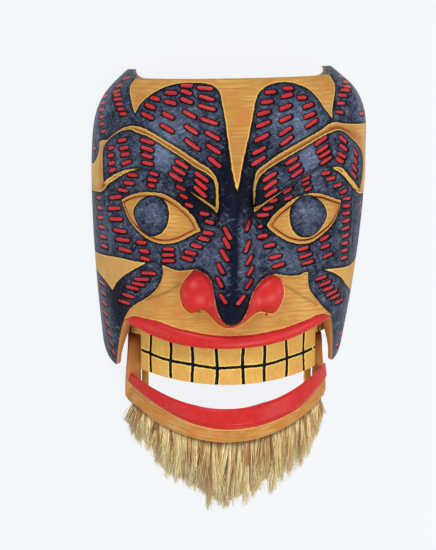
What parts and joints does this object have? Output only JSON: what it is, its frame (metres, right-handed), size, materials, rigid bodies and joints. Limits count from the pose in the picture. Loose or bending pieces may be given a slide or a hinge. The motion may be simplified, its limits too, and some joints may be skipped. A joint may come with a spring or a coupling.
{
  "type": "carved wooden mask",
  "caption": "Carved and painted wooden face mask of a bearded man, hollow behind, with a toothed strip, a hinged lower jaw and a horsehair beard.",
  "frame": {"origin": "under the middle of the whole mask, on the surface that its rear rim lies on", "axes": "+Z out of the face, +Y to the crown of the head, +X to the right as seen by someone who looks at the face"},
  "size_m": [0.222, 0.353, 0.1258],
  "materials": {
    "painted_wood": "carved alder wood with matt blue-black and red paint over it",
    "pale_wood": "pale satin wood with black painted lines",
    "jaw_wood": "oiled wood with a red painted lip",
    "peg_wood": "dark hardwood peg",
    "horsehair": "pale straw-coloured horsehair"
  },
  "bodies": {
    "mask": {"mask_face": "painted_wood", "teeth_band": "pale_wood", "jaw_pin_left": "peg_wood", "jaw_pin_right": "peg_wood"},
    "jaw": {"lower_jaw": "jaw_wood", "beard": "horsehair"}
  },
  "joints": [
    {"name": "jaw_hinge", "type": "hinge", "parent": "mask", "child": "jaw", "pos_m": [-0.00454, -0.04878, 0.027], "axis": [-1, 0, 0], "range_deg": [0, 14]}
  ]
}
